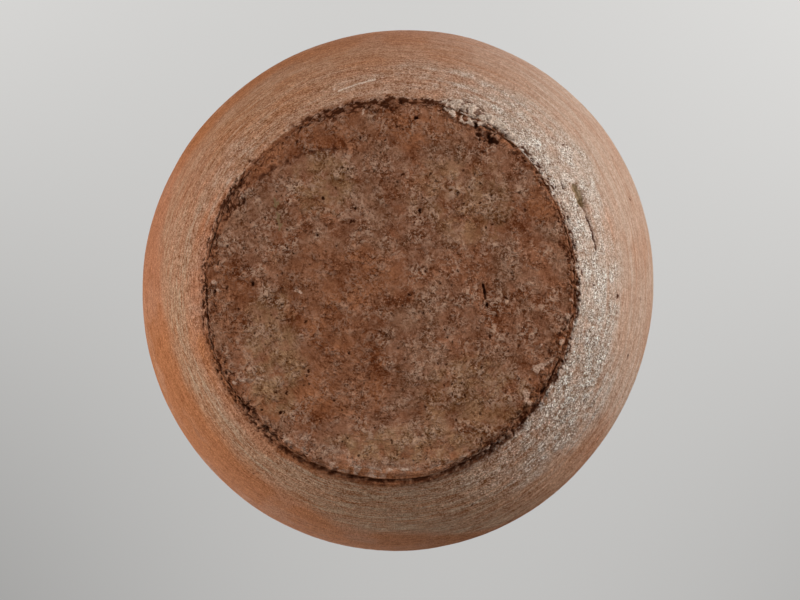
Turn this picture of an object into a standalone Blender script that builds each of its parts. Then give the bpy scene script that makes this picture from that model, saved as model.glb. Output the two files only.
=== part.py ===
"""A terracotta jar with a flat foot, a round belly and an everted lip, in metres.

The jar is one solid of fired clay, thrown on a wheel and finished by hand. It stands upright: +Z goes up through
the mouth, and the origin is the centre of the underside.
"""

from collections import namedtuple
import math

import bpy
from mathutils import Matrix, Vector

# Levels, each measured from the one below, so that their sum is the height of the jar
BELLY_LEVEL = 0.078        # underside to the widest part
SHOULDER_RISE = 0.074      # widest part to the narrowest part of the neck
NECK_RISE = 0.034          # narrowest part of the neck to the lower edge of the lip
LIP_HEIGHT = 0.004         # lower edge of the lip to its flat top

# Radii of the outside
BELLY_RADIUS = 0.089
FOOT_RADIUS = 0.0500
NECK_RADIUS = 0.036
LIP_FLARE = 0.014          # how far the lip stands out beyond the neck

# Curves of the shoulder and neck: how far each end keeps its own direction
BELLY_PULL = 0.050
SHOULDER_PULL = 0.026
NECK_PULL = 0.014
FLARE_PULL = 0.009
FLARE_ANGLE = math.radians(45.0)

# Clay thickness
LOWER_WALL = 0.0080
UPPER_WALL = 0.0055
FLOOR_THICKNESS = 0.0095
FLOOR_FILLET_WIDTH = 0.014
FLOOR_FILLET_HEIGHT = 0.008

# Lip
LIP_FLAT = 0.0030          # width of the flat ring on top, on which the jar can be stood upside down
LIP_ROUNDING = 0.0020

# Foot
FOOT_HEIGHT = 0.0030       # underside to where the wall begins
FOOT_ROUNDING = 0.0016
CREASE_WIDTH = 0.0017      # the open crease between the foot and the wall
CREASE_DEPTH = 0.0010

# Roundness: the soft jar sagged a little into an oval and, less, into a three-cornered shape
OVAL = 0.014               # share of the radius
OVAL_ANGLE = math.radians(-66.5)
THREE_CORNERS = 0.004      # share of the radius
THREE_CORNERS_ANGLE = math.radians(-44.6)

# Hand-trimmed edge of the foot
EDGE_WANDER = 0.0006       # how far the edge strays from round
EDGE_WANDER_REACH = 0.006  # height over which the straying dies out
WORN_EDGE = 0.0020         # how much broader the rounding is where the edge is worn
WORN_EDGE_ANGLE = math.radians(91.0)
WORN_EDGE_SPREAD = math.radians(30.0)

# Roll of clay pressed over the edge of the foot
BURR_ANGLE = math.radians(-61.0)
BURR_LENGTH = 0.022
BURR_THICKNESS = 0.0044
BURR_LEVEL = 0.0028        # level of its middle, above the underside
BURR_FADE = 0.004          # distance past its ends over which the crease opens again
BURR_POINTS = 16

# A hollow scraped or broken out of the surface, its length running along the direction of turning
Mark = namedtuple("Mark", "degrees length width depth")
GOUGE_LEVEL = 0.0088       # level of the gouges in the wall
GOUGES = (
    Mark(degrees=-18.1, length=0.0135, width=0.0026, depth=0.0011),
    Mark(degrees=-27.6, length=0.0056, width=0.0024, depth=0.0012),
)
# Chips lie on the edge of the underside
CHIPS = (
    Mark(degrees=-58.5, length=0.0062, width=0.0024, depth=0.0010),
    Mark(degrees=-3.0, length=0.0060, width=0.0022, depth=0.0008),
    Mark(degrees=9.0, length=0.0075, width=0.0020, depth=0.0009),
    Mark(degrees=37.0, length=0.0080, width=0.0026, depth=0.0010),
)

# Fineness of the model
TURNS = 64                 # flat facets around the jar
WELD_DISTANCE = 0.00001
SHARP_ANGLE = math.radians(35.0)

CLAY_COLOUR = (0.42, 0.20, 0.115, 1.0)
CLAY_ROUGHNESS = 0.85

NECK_LEVEL = BELLY_LEVEL + SHOULDER_RISE
LIP_LEVEL = NECK_LEVEL + NECK_RISE
HEIGHT = LIP_LEVEL + LIP_HEIGHT
LIP_RADIUS = NECK_RADIUS + LIP_FLARE
WALL_START_RADIUS = FOOT_RADIUS + CREASE_WIDTH
UNDERSIDE_RADIUS = FOOT_RADIUS - FOOT_ROUNDING
CREASE_LEVEL = FOOT_HEIGHT + CREASE_DEPTH
UP = Vector((0.0, 0.0, 1.0))


def clear_scene():
    for obj in list(bpy.data.objects):
        bpy.data.objects.remove(obj, do_unlink=True)


def new_collection(name):
    collection = bpy.data.collections.new(name)
    bpy.context.scene.collection.children.link(collection)
    return collection


def clay_material():
    material = bpy.data.materials.new("terracotta")
    material.use_nodes = True
    shader = material.node_tree.nodes["Principled BSDF"]
    shader.inputs["Base Color"].default_value = CLAY_COLOUR
    shader.inputs["Roughness"].default_value = CLAY_ROUGHNESS
    shader.inputs["Metallic"].default_value = 0.0
    material.diffuse_color = CLAY_COLOUR
    return material


def bezier(start, start_pull, end_pull, end, count):
    """Return count points of a cubic curve, from just after its start to its end."""
    points = []
    for i in range(1, count + 1):
        t = i / count
        s = 1.0 - t
        points.append(s ** 3 * start + 3 * s * s * t * start_pull + 3 * s * t * t * end_pull + t ** 3 * end)
    return points


def wall_line(fineness):
    """Return the outside of the wall as (radius, level) points, from the crease up to the lip."""
    foot_turn = math.acos(WALL_START_RADIUS / BELLY_RADIUS)
    semi_height = (BELLY_LEVEL - FOOT_HEIGHT) / math.sin(foot_turn)
    line = []
    for i in range(fineness + 1):
        turn = foot_turn * (1.0 - i / fineness)
        line.append(Vector((BELLY_RADIUS * math.cos(turn), BELLY_LEVEL - semi_height * math.sin(turn))))

    belly = Vector((BELLY_RADIUS, BELLY_LEVEL))
    neck = Vector((NECK_RADIUS, NECK_LEVEL))
    lip = Vector((LIP_RADIUS, LIP_LEVEL))
    flare = FLARE_PULL * Vector((math.cos(FLARE_ANGLE), math.sin(FLARE_ANGLE)))
    upward = Vector((0.0, 1.0))
    line += bezier(belly, belly + BELLY_PULL * upward, neck - SHOULDER_PULL * upward, neck, fineness)
    line += bezier(neck, neck + NECK_PULL * upward, lip - flare, lip, fineness // 2)
    return line


def inside_line(fineness):
    """Return the inside of the wall, thicker at the foot than at the neck, from low to high."""
    outside = wall_line(fineness)
    inside = []
    for i, point in enumerate(outside):
        before = outside[max(i - 1, 0)]
        after = outside[min(i + 1, len(outside) - 1)]
        along = (after - before).normalized()
        inward = Vector((-along.y, along.x))
        share = min(point.y / NECK_LEVEL, 1.0)
        thickness = LOWER_WALL + (UPPER_WALL - LOWER_WALL) * share
        inside.append(point + thickness * inward)
    return inside


def radius_at(line, level):
    """Return the radius of a line of (radius, level) points at one level."""
    for low, high in zip(line, line[1:]):
        if low.y <= level <= high.y:
            share = (level - low.y) / (high.y - low.y)
            return low.x + share * (high.x - low.x)
    return line[0].x


def quarter_round(edge, drop, steps):
    """Return points of a quarter circle that leaves a level face at edge and turns down (or up) by drop."""
    size = abs(drop)
    points = []
    for i in range(steps + 1):
        turn = i / steps * math.pi / 2
        points.append(edge + Vector((size * math.sin(turn), -drop * (1.0 - math.cos(turn)))))
    return points


def jar_profile():
    """Return the whole section: up the inside from the floor, over the lip, down the outside to the centre."""
    inside = inside_line(fineness=8)
    corner = Vector((radius_at(inside, FLOOR_THICKNESS), FLOOR_THICKNESS))
    fillet_start = corner - Vector((FLOOR_FILLET_WIDTH, 0.0))
    lip_inner = LIP_RADIUS - LIP_ROUNDING - LIP_FLAT

    wall = []
    for point in inside:
        above_fillet = point.y > FLOOR_THICKNESS + FLOOR_FILLET_HEIGHT
        below_lip = point.y < NECK_LEVEL or (point.y < HEIGHT - LIP_ROUNDING and point.x < lip_inner)
        if above_fillet and below_lip:
            wall.append(point)

    section = [Vector((0.0, FLOOR_THICKNESS)), fillet_start]
    section += bezier(fillet_start, corner, corner, wall[0], 4)
    section += wall[1:]
    section.append(Vector((lip_inner, HEIGHT)))
    section += quarter_round(Vector((lip_inner + LIP_FLAT, HEIGHT)), LIP_ROUNDING, 3)
    section += reversed(wall_line(fineness=13))
    section.append(Vector((FOOT_RADIUS + CREASE_WIDTH / 2, CREASE_LEVEL)))
    section += reversed(quarter_round(Vector((UNDERSIDE_RADIUS, 0.0)), -FOOT_ROUNDING, 3))
    section.append(Vector((0.0, 0.0)))
    return section


def as_mesh_object(source, name, collection):
    """Replace an object by a mesh object that has its modifiers or its curve settings applied."""
    bpy.context.view_layer.update()
    evaluated = source.evaluated_get(bpy.context.evaluated_depsgraph_get())
    mesh = bpy.data.meshes.new_from_object(evaluated)
    place = source.matrix_world.copy()
    bpy.data.objects.remove(source, do_unlink=True)
    obj = bpy.data.objects.new(name, mesh)
    obj.matrix_world = place
    collection.objects.link(obj)
    return obj


def turned_jar(collection):
    """Turn the section into a full jar, as the wheel did."""
    section = jar_profile()
    mesh = bpy.data.meshes.new("section")
    points = [(point.x, 0.0, point.y) for point in section]
    edges = [(i, i + 1) for i in range(len(points) - 1)]
    mesh.from_pydata(points, edges, [])
    jar = bpy.data.objects.new("section", mesh)
    collection.objects.link(jar)

    screw = jar.modifiers.new("turn on the wheel", "SCREW")
    screw.axis = "Z"
    screw.angle = math.tau
    screw.steps = TURNS
    screw.render_steps = TURNS
    screw.use_merge_vertices = True
    screw.merge_threshold = WELD_DISTANCE
    return as_mesh_object(jar, "turned jar", collection)


def sag(angle):
    """Return the share by which the radius grows or shrinks in one direction."""
    oval = OVAL * math.cos(2.0 * (angle - OVAL_ANGLE))
    corners = THREE_CORNERS * math.cos(3.0 * (angle - THREE_CORNERS_ANGLE))
    return 1.0 + oval + corners


def edge_wander(angle):
    """Return how far the edge of the foot strays from its turned radius in one direction."""
    waves = 0.5 * math.sin(5.0 * angle + 0.4) + 0.3 * math.sin(9.0 * angle + 2.1) + 0.2 * math.sin(14.0 * angle)
    return EDGE_WANDER * waves


def worn_share(angle):
    """Return 1 in the middle of the worn stretch of the edge, and 0 away from it."""
    away = abs(math.remainder(angle - WORN_EDGE_ANGLE, math.tau))
    return math.cos(min(away / WORN_EDGE_SPREAD, 1.0) * math.pi / 2) ** 2


def burr_share(angle):
    """Return 1 where the burr fills the crease, fading to 0 just past its ends."""
    away = abs(math.remainder(angle - BURR_ANGLE, math.tau)) * FOOT_RADIUS
    return min(max(1.0 - (away - BURR_LENGTH / 2) / BURR_FADE, 0.0), 1.0)


def shape_by_hand(jar):
    """Move the turned surface to where sagging, trimming, pressing and wear left it."""
    for vertex in jar.data.vertices:
        height = vertex.co.z
        radius = math.hypot(vertex.co.x, vertex.co.y)
        if radius == 0.0:
            continue
        angle = math.atan2(vertex.co.y, vertex.co.x)
        fade = max(1.0 - height / EDGE_WANDER_REACH, 0.0)
        moved = radius * sag(angle) + edge_wander(angle) * fade
        if height < FOOT_ROUNDING:
            moved -= WORN_EDGE * worn_share(angle) * (1.0 - height / FOOT_ROUNDING)
        if radius < WALL_START_RADIUS and abs(height - CREASE_LEVEL) < WELD_DISTANCE:
            vertex.co.z += (BURR_LEVEL - height) * burr_share(angle)
        vertex.co.x = moved * math.cos(angle)
        vertex.co.y = moved * math.sin(angle)


def directions(angle):
    """Return the outward direction and the direction of turning at one place around the jar."""
    return Vector((math.cos(angle), math.sin(angle), 0.0)), Vector((-math.sin(angle), math.cos(angle), 0.0))


def hollow_cutter(name, mark, place, outward, turning, collection):
    """Make an egg-shaped cutter that sinks a mark into the surface at one place."""
    bpy.ops.mesh.primitive_ico_sphere_add(subdivisions=2, radius=1.0)
    cutter = bpy.context.object
    cutter.name = name
    for owner in list(cutter.users_collection):
        owner.objects.unlink(cutter)
    collection.objects.link(cutter)

    # The egg stands half out of the surface, so its widest part is the mouth of the hollow
    across = outward.cross(turning)
    turn = Matrix((turning, across, outward)).transposed().to_4x4()
    size = Matrix.Diagonal((mark.length / 2, mark.width / 2, mark.depth, 1.0))
    cutter.matrix_world = Matrix.Translation(place) @ turn @ size
    cutter.hide_render = True
    cutter.display_type = "WIRE"


def gouge_cutters(collection):
    line = wall_line(fineness=40)
    radius = radius_at(line, GOUGE_LEVEL)
    step = GOUGE_LEVEL / 10
    slope = (radius_at(line, GOUGE_LEVEL + step) - radius) / step
    for i, mark in enumerate(GOUGES, 1):
        angle = math.radians(mark.degrees)
        radial, turning = directions(angle)
        outward = (radial - slope * UP).normalized()
        place = radius * sag(angle) * radial + GOUGE_LEVEL * UP
        hollow_cutter(f"gouge {i}", mark, place, outward, turning, collection)


def chip_cutters(collection):
    for i, mark in enumerate(CHIPS, 1):
        angle = math.radians(mark.degrees)
        radial, turning = directions(angle)
        place = (UNDERSIDE_RADIUS * sag(angle) + edge_wander(angle)) * radial
        hollow_cutter(f"chip {i}", mark, place, -UP, turning, collection)


def add_burr(collection):
    """Make the roll of clay that was pressed over the edge of the foot and never trimmed."""
    curve = bpy.data.curves.new("burr", "CURVE")
    curve.dimensions = "3D"
    curve.bevel_depth = BURR_THICKNESS / 2
    curve.bevel_resolution = 1
    curve.use_fill_caps = True
    spline = curve.splines.new("POLY")
    spline.points.add(BURR_POINTS - 1)
    for i, point in enumerate(spline.points):
        share = i / (BURR_POINTS - 1)
        angle = BURR_ANGLE + (share - 0.5) * BURR_LENGTH / FOOT_RADIUS
        radial, _ = directions(angle)
        place = (FOOT_RADIUS * sag(angle) + CREASE_WIDTH / 2 + edge_wander(angle)) * radial + BURR_LEVEL * UP
        point.co = (*place, 1.0)
        # The roll is full in the middle, thin at its ends and lumpy all along
        point.radius = 0.35 + 0.5 * math.sin(math.pi * share) + 0.15 * math.sin(19.0 * share)
    roll = bpy.data.objects.new("burr curve", curve)
    collection.objects.link(roll)
    roll = as_mesh_object(roll, "burr", collection)
    weld = roll.modifiers.new("close the ends", "WELD")
    weld.merge_threshold = WELD_DISTANCE
    roll.hide_render = True
    roll.display_type = "WIRE"


def combine(obj, name, operation, tools):
    change = obj.modifiers.new(name, "BOOLEAN")
    change.operation = operation
    change.operand_type = "COLLECTION"
    change.collection = tools
    change.solver = "EXACT"


def build():
    clear_scene()
    vessel = new_collection("Terracotta vase")
    added = new_collection("Added clay")
    marks = new_collection("Cutters")

    jar = turned_jar(vessel)
    shape_by_hand(jar)
    add_burr(added)
    gouge_cutters(marks)
    chip_cutters(marks)
    combine(jar, "press the burr on", "UNION", added)
    combine(jar, "cut the marks", "DIFFERENCE", marks)

    vase = as_mesh_object(jar, "vase", vessel)
    vase.data.shade_smooth()
    vase.data.set_sharp_from_angle(angle=SHARP_ANGLE)
    vase.data.materials.clear()
    vase.data.materials.append(clay_material())


build()
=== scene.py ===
# %% [markdown]
# # An old terracotta jar, seen from under its foot
# The jar was thrown on a wheel, fired, used and buried. Soil and lime have settled on it since, the edge of
# its foot has crumbled, and a roll of clay that nobody trimmed still hangs over that edge. The lesson starts
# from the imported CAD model, which gives the true size and place, and dresses it in a finely shaped skin of
# clay.

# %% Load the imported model
import itertools
import math

import bpy
import numpy as np
from mathutils import Matrix, Vector
from mathutils.bvhtree import BVHTree


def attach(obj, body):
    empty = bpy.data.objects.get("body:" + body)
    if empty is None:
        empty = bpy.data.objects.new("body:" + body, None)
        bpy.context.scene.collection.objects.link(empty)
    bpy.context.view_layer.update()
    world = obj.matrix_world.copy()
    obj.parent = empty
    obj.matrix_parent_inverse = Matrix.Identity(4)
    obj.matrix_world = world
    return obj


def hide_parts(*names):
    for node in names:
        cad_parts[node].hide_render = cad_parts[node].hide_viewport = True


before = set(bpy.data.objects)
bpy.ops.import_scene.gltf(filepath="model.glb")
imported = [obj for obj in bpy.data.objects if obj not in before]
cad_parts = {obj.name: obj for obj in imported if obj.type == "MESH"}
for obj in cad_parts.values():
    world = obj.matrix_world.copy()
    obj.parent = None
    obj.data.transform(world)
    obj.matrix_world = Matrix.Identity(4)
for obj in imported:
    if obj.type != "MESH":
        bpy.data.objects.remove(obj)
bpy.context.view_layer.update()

cad_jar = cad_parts["vase"]

# %% [markdown]
# ## The camera
# The photograph was taken from straight below the foot, a little off the jar's axis. Its outline and the
# edge of the foot fix the camera: 213 mm below the underside, with a 36 mm lens on a sensor 36 mm wide. A
# camera looks along its own -Z, so its matrix is built from three directions: right, up and back.

# %% The camera under the foot
CAMERA_PLACE = Vector((0.0101, 0.0008, -0.2129))
CAMERA_YAW = math.radians(-1.90)
CAMERA_PITCH = math.radians(-0.49)


def add_object(name, data):
    made = bpy.data.objects.new(name, data)
    bpy.context.scene.collection.objects.link(made)
    return made


def add_camera():
    forward = Vector((math.tan(CAMERA_YAW), -math.tan(CAMERA_PITCH), 1.0)).normalized()
    right = forward.cross(Vector((0.0, -1.0, 0.0))).normalized()
    up = right.cross(forward)
    lens = bpy.data.cameras.new("camera")
    lens.lens = 36.0
    lens.sensor_width = 36.0
    lens.clip_start = 0.01
    camera = add_object("camera", lens)
    turn = Matrix((right, up, -forward)).transposed().to_4x4()
    camera.matrix_world = Matrix.Translation(CAMERA_PLACE) @ turn
    bpy.context.scene.camera = camera
    return camera


camera = add_camera()
print("camera at", tuple(round(value, 4) for value in camera.matrix_world.translation))

# %% [markdown]
# ## One line that holds the whole form
# A wheel makes every level of a jar round, so half of its section is enough. The line runs from the centre
# of the underside out to the foot, up the wall, over the lip and down the inside to the centre of the floor.
# Its sizes are the CAD's, here in millimetres, because the marks on the clay are easier to think of in
# millimetres.

# %% Sizes of the section
MM = 0.001
BELLY_LEVEL, NECK_LEVEL, LIP_LEVEL, TOP_LEVEL = 78.0, 152.0, 186.0, 190.0
BELLY_RADIUS, FOOT_RADIUS, NECK_RADIUS, LIP_RADIUS = 89.0, 50.0, 36.0, 50.0
FOOT_HEIGHT, FOOT_ROUNDING = 3.0, 1.6
CREASE_RADIUS, CREASE_LEVEL, WALL_START = 50.85, 4.0, 51.7
LIP_FLAT, LIP_ROUNDING = 3.0, 2.0
LOWER_WALL, UPPER_WALL, FLOOR = 8.0, 5.5, 9.5
FLOOR_FILLET = np.array([14.0, 8.0])
# How far each end of a curve keeps its own direction; the lip flares at 45 degrees
BELLY_PULL, SHOULDER_PULL, NECK_PULL, FLARE_PULL = 50.0, 26.0, 14.0, 9.0 * 0.7071


def bezier(start, start_pull, end_pull, end, count=60):
    """Return count points of a cubic curve, as (radius, level) rows."""
    t = np.linspace(0.0, 1.0, count)[:, None]
    s = 1.0 - t
    ends = s ** 3 * np.array(start) + t ** 3 * np.array(end)
    return ends + 3 * s * s * t * np.array(start_pull) + 3 * s * t * t * np.array(end_pull)


def quarter_round(centre, size, first, last):
    """Return points of an arc between two directions, in degrees."""
    turn = np.radians(np.linspace(first, last, 12))
    return np.array(centre) + size * np.stack([np.cos(turn), np.sin(turn)], axis=1)


FOOT_TURN = math.acos(WALL_START / BELLY_RADIUS)
SEMI_HEIGHT = (BELLY_LEVEL - FOOT_HEIGHT) / math.sin(FOOT_TURN)
turns = np.linspace(FOOT_TURN, 0.0, 200)
lower_wall = np.stack([BELLY_RADIUS * np.cos(turns), BELLY_LEVEL - SEMI_HEIGHT * np.sin(turns)], axis=1)
belly, neck, lip_start = np.array([
    [BELLY_RADIUS, BELLY_LEVEL], [NECK_RADIUS, NECK_LEVEL], [LIP_RADIUS, LIP_LEVEL]
])
upward = np.array([0.0, 1.0])
shoulder = bezier(belly, belly + BELLY_PULL * upward, neck - SHOULDER_PULL * upward, neck)
flare = bezier(neck, neck + NECK_PULL * upward, lip_start - FLARE_PULL, lip_start)
outside = np.concatenate([lower_wall, shoulder[1:], flare[1:]])
print("outside of the wall:", len(outside), "points, from", outside[0].round(1), "to", outside[-1].round(1))

# %% [markdown]
# ## The inside of the wall
# The potter's fingers held the wall from both sides, so the inside follows the outside at the thickness of
# the clay, which thins towards the neck. Each point of the outside steps inwards at right angles to the
# line.

# %% Offset the wall inwards and close the section
along = np.gradient(outside, axis=0)
along /= np.linalg.norm(along, axis=1)[:, None]
thickness = LOWER_WALL + (UPPER_WALL - LOWER_WALL) * np.minimum(outside[:, 1] / NECK_LEVEL, 1.0)
inside = outside + thickness[:, None] * np.stack([-along[:, 1], along[:, 0]], axis=1)
LIP_INNER = LIP_RADIUS - LIP_ROUNDING - LIP_FLAT
corner = np.array([np.interp(FLOOR, inside[:, 1], inside[:, 0]), FLOOR])
above_fillet = inside[:, 1] > FLOOR + FLOOR_FILLET[1]
under_lip = (inside[:, 1] < TOP_LEVEL - 2.5) & (inside[:, 0] < LIP_INNER - 0.6)
inside = inside[above_fillet & ((inside[:, 1] < NECK_LEVEL) | under_lip)]
fillet_start = corner - [FLOOR_FILLET[0], 0.0]

UNDERSIDE_RADIUS = FOOT_RADIUS - FOOT_ROUNDING
underside = np.array([[0.0, 0.0], [UNDERSIDE_RADIUS, 0.0]])
foot_edge = quarter_round((UNDERSIDE_RADIUS, FOOT_ROUNDING), FOOT_ROUNDING, -90.0, 0.0)
crease = np.array([[FOOT_RADIUS, FOOT_ROUNDING], [CREASE_RADIUS, CREASE_LEVEL], [WALL_START, FOOT_HEIGHT]])
lip_side = np.array([[LIP_RADIUS, LIP_LEVEL], [LIP_RADIUS, TOP_LEVEL - LIP_ROUNDING]])
lip_edge = quarter_round((LIP_RADIUS - LIP_ROUNDING, TOP_LEVEL - LIP_ROUNDING), LIP_ROUNDING, 0.0, 90.0)
lip_inside = bezier(
    (LIP_INNER + 0.8, TOP_LEVEL), (LIP_INNER, TOP_LEVEL), (LIP_INNER, TOP_LEVEL), inside[-1], 12
)
lip = np.concatenate([lip_side, lip_edge[1:], lip_inside])
fillet = bezier(fillet_start, corner, corner, inside[0], 30)
floor = np.array([[0.0, FLOOR], fillet_start])
print("inside of the wall:", len(inside), "points; floor corner at radius", round(float(corner[0]), 1))

# %% [markdown]
# ## A grid that is fine where the photograph looks
# The relief of the clay is real geometry here, so the grid needs cells of a third of a millimetre on the
# underside and the foot, and may be coarse inside. Rings of points go round the jar along the section. Where
# the cells would get too small or too wide, the next ring has half or twice as many points.

# %% Lay the rings
def resample(line, spacing):
    """Return points at an even spacing along a line, with the directions that point out of the clay."""
    steps = np.linalg.norm(np.diff(line, axis=0), axis=1)
    travelled = np.concatenate([[0.0], np.cumsum(steps)])
    count = max(2, int(round(travelled[-1] / spacing)) + 1)
    at = np.linspace(0.0, travelled[-1], count)
    points = np.stack([np.interp(at, travelled, line[:, 0]), np.interp(at, travelled, line[:, 1])], axis=1)
    direction = np.gradient(points, axis=0)
    direction /= np.linalg.norm(direction, axis=1)[:, None]
    return points, np.stack([direction[:, 1], -direction[:, 0]], axis=1)


FINE_BELOW = 18.0       # level in mm up to which the wall is finely cut
FEWEST_AROUND, MOST_AROUND = 16, 1024
CENTRE_HOLE = 0.3       # radius in mm inside which one point closes the grid
split = np.searchsorted(lower_wall[:, 1], FINE_BELOW)
STRETCHES = (
    # line, spacing of the rings, widest cell around, both in mm, and its name
    (underside, 0.36, 0.37, "underside"),
    (foot_edge, 0.26, 0.34, "foot"),
    (crease, 0.27, 0.34, "crease"),
    (lower_wall[:split + 1], 0.42, 0.44, "wall"),
    (lower_wall[split:], 0.85, 1.10, "wall"),
    (np.concatenate([shoulder, flare[1:]]), 1.50, 2.60, "wall"),
    (lip, 0.60, 2.60, "lip"),
    (inside[::-1], 2.00, 4.40, "inside"),
    (fillet[::-1], 2.00, 4.40, "inside"),
    (floor[::-1], 2.60, 4.40, "inside"),
)

rings = []
for line, spacing, cell, part in STRETCHES:
    points, outward = resample(line, spacing)
    for (radius, level), direction in zip(points, outward):
        if rings and np.allclose((radius, level), rings[-1]["place"], atol=1e-6):
            continue
        wanted = 2 ** round(math.log2(max(math.tau * radius / cell, FEWEST_AROUND)))
        if rings:
            wanted = min(max(wanted, rings[-1]["count"] // 2), rings[-1]["count"] * 2)
        rings.append({
            "place": (radius, level), "out": direction, "part": part, "count": min(wanted, MOST_AROUND)
        })
rings = [ring for ring in rings if ring["place"][0] > CENTRE_HOLE]
print(len(rings), "rings with", sum(ring["count"] for ring in rings), "points")

# %% [markdown]
# ## Every point at once
# NumPy holds one array for each property of all the points: the angle around the axis, the radius and level
# on the section, and the direction out of the clay. One line of arithmetic then shapes two hundred thousand
# points.

# %% Arrays of points
counts = np.array([ring["count"] for ring in rings])
first_of = np.concatenate([[0], np.cumsum(counts)])
ring_of = np.repeat(np.arange(len(rings)), counts)
angle = (np.arange(first_of[-1]) - first_of[ring_of]) / counts[ring_of] * math.tau
degrees = (np.degrees(angle) + 180.0) % 360.0 - 180.0
radius = np.array([ring["place"][0] for ring in rings])[ring_of]
level = np.array([ring["place"][1] for ring in rings])[ring_of]
outward = np.array([ring["out"] for ring in rings])[ring_of]
parts = np.array([ring["part"] for ring in rings])
part = parts[ring_of]
place = np.stack([radius * np.cos(angle), radius * np.sin(angle), level], axis=1)
ring_places = np.array([ring["place"] for ring in rings])
ring_steps = np.linalg.norm(np.diff(ring_places, axis=0), axis=1)
travel = np.concatenate([[0.0], np.cumsum(ring_steps)])[ring_of]


def smooth(low, high, value):
    """Return 0 below low and 1 above high, with a soft change between. A larger low gives the reverse."""
    t = np.clip((value - low) / (high - low), 0.0, 1.0)
    return t * t * (3.0 - 2.0 * t)


def away_from(centre):
    """Return how far each point lies around the jar from an angle, in degrees."""
    return np.abs((degrees - centre + 180.0) % 360.0 - 180.0)


def around(centre, half, fade):
    """Return 1 within half a width of an angle, fading to 0, all in degrees."""
    return smooth(half + fade, half, away_from(centre))


def on(*names):
    return np.isin(part, names)


low_parts = on("underside", "foot", "crease", "wall")
on_underside = on("underside", "foot") * 1.0
near_foot = smooth(56.0, 53.0, radius) * (level < 12.0) * low_parts
print(
    "points on the underside:", int(on_underside.sum()), "and near the foot:", int((near_foot > 0.5).sum())
)

# %% [markdown]
# ## Repeatable chance
# Clay is lumpy without a pattern. Space is cut into cubes, each corner gets a number that only depends on
# where it is, and the numbers between are blended smoothly. The same place always gives the same number, so
# every run makes the same jar. Two sizes of lumps on top of each other look more natural than one.

# %% Noise in cubes
# Large odd numbers that scatter the bits of a cube's place
SCATTER = [np.uint32(number) for number in (73856093, 19349663, 83492791, 2246822519, 3266489917)]


def dice(x, y, z, seed):
    """Return a number from 0 to 1 for each cube of a grid, always the same for the same cube."""
    mixed = (x.astype(np.uint32) * SCATTER[0]) ^ (y.astype(np.uint32) * SCATTER[1])
    mixed ^= (z.astype(np.uint32) * SCATTER[2]) ^ np.uint32(seed * 26699 + 17)
    mixed = (mixed ^ (mixed >> np.uint32(15))) * SCATTER[3]
    mixed = (mixed ^ (mixed >> np.uint32(13))) * SCATTER[4]
    return (mixed ^ (mixed >> np.uint32(16))) / 2.0 ** 32


TILT = np.array(Matrix.Rotation(0.7, 3, Vector((1.0, 2.0, 3.0))))


def lumps(points, size, seed):
    """Return smooth chance from about -1 to 1, with lumps of one size in mm."""
    spot = points @ TILT.T / size + 100.0 + 7.3 * seed
    cube = np.floor(spot).astype(np.int64)
    t = spot - cube
    t = t * t * t * (t * (6.0 * t - 15.0) + 10.0)
    total = np.zeros(len(points))
    for i, j, k in itertools.product((0, 1), repeat=3):
        weight = np.abs(1 - i - t[:, 0]) * np.abs(1 - j - t[:, 1]) * np.abs(1 - k - t[:, 2])
        total += weight * dice(cube[:, 0] + i, cube[:, 1] + j, cube[:, 2] + k, seed)
    return 2.0 * total - 1.0


def rough(points, size, seed):
    return 0.65 * lumps(points, size, seed) + 0.35 * lumps(points, size * 0.45, seed + 50)


def turned(length, width, seed):
    """Return chance in streaks that run around the jar, with their length and width in mm."""
    spots = np.stack([np.cos(angle) * 60.0 / length, np.sin(angle) * 60.0 / length, travel / width], axis=1)
    return lumps(spots, 1.0, seed)


grit = rough(place, 1.1, 3)
print("noise from", grit.min().round(2), "to", grit.max().round(2))

# %% [markdown]
# ## Pits
# Burnt-out straw and lost sand grains leave small pits, in crowds and not evenly. Each cube of a grid may
# hold one pit, with its centre and size from the same dice, and a point only has to look at the cubes next
# to its own. The places are shaken a little first, so that the pits come out ragged and not round.

# %% Pits in cubes
def cubes_near(cube):
    """Yield the place of each of the 27 cubes in and around a point's own, for all points at once."""
    for shift in itertools.product((-1, 0, 1), repeat=3):
        yield [cube[:, n] + shift[n] for n in range(3)]


def pits(points, cell, share, smallest, largest, seed):
    """Return how deep each point lies in a pit, from 0 at the rim to 1 in the middle."""
    cube = np.floor(points / cell).astype(np.int64)
    deepest = np.zeros(len(points))
    for near in cubes_near(cube):
        centre = np.stack([near[n] + dice(*near, seed + n) for n in range(3)], axis=1) * cell
        size = smallest + (largest - smallest) * dice(*near, seed + 3) ** 2
        there = dice(*near, seed + 4) < share
        away = np.linalg.norm(points - centre, axis=1) / size
        deepest = np.maximum(deepest, there * np.clip(1.0 - away ** 2, 0.0, 1.0))
    return deepest


pressed = place * [1.0, 1.0, 0.0]
flat_place = pressed + [0.0, 0.0, 0.4]
shaken_place = (
    flat_place + 0.5 * np.stack([lumps(place, 0.8, 71), lumps(place, 0.8, 72), 0.0 * grit], axis=1)
)
crowded = smooth(-0.4, 0.6, lumps(flat_place, 9.0, 73))
under_pits = pits(shaken_place, 1.9, 0.08 + 0.30 * crowded, 0.14, 0.62, 11)
wall_pits = pits(place, 6.0, 0.10, 0.20, 0.50, 21) * smooth(5.0, 7.0, level)
print("points in pits:", int((under_pits > 0).sum()), "below and", int((wall_pits > 0).sum()), "on the wall")

# %% [markdown]
# ## Crumbs
# Where the edge of the foot has broken, the clay ends in crumbs and flakes. Each cube of a grid holds one
# centre, and a point belongs to the nearest, so that the ground splits into crumbs with borders. Every crumb
# has a height of its own, from the same dice. Coarse and fine crumbs together look like rubble.

# %% Crumbs in cubes
near_rim = low_parts & (radius > 40.0) & (radius < 57.0) & (level < 12.0)


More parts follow.
